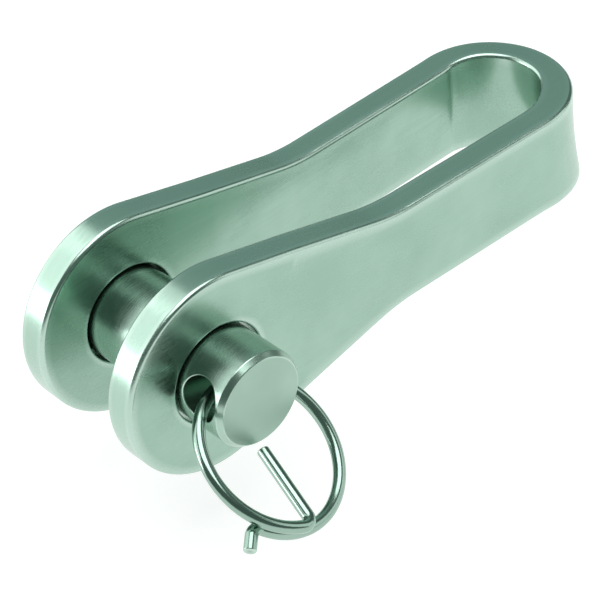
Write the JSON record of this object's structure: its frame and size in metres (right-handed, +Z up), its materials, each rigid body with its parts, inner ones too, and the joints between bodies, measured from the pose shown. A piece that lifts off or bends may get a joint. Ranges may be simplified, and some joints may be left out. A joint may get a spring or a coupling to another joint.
{
  "type": "rigging link with clevis pin",
  "caption": "Stainless strap link: a flat bar bent into a narrow U with round ears, a headed clevis pin through them and a wire cotter ring in the pin's tip.",
  "frame": {"origin": "on the clevis pin's axis, midway between the two ears", "axes": "+X runs along the link from the pin to the bow, +Y along the pin towards its head, +Z up, across the width of the bar"},
  "size_m": [0.0775, 0.0417, 0.026],
  "materials": {
    "strap_steel": "satin, tumbled stainless",
    "pin_steel": "turned and polished stainless",
    "ring_wire": "bright drawn stainless wire"
  },
  "bodies": {
    "link": {"strap": "strap_steel"},
    "pin": {"clevis_pin": "pin_steel"},
    "ring": {"cotter_ring": "ring_wire"}
  },
  "joints": [
    {"name": "pin_turn", "type": "hinge", "parent": "link", "child": "pin", "pos_m": [0, 0, 0], "axis": [0, 1, 0], "continuous": true},
    {"name": "ring_swing", "type": "hinge", "parent": "pin", "child": "ring", "pos_m": [0, -0.0133, 0], "axis": [-0.9563, 0, 0.2924], "range_deg": [-51, 131]}
  ]
}
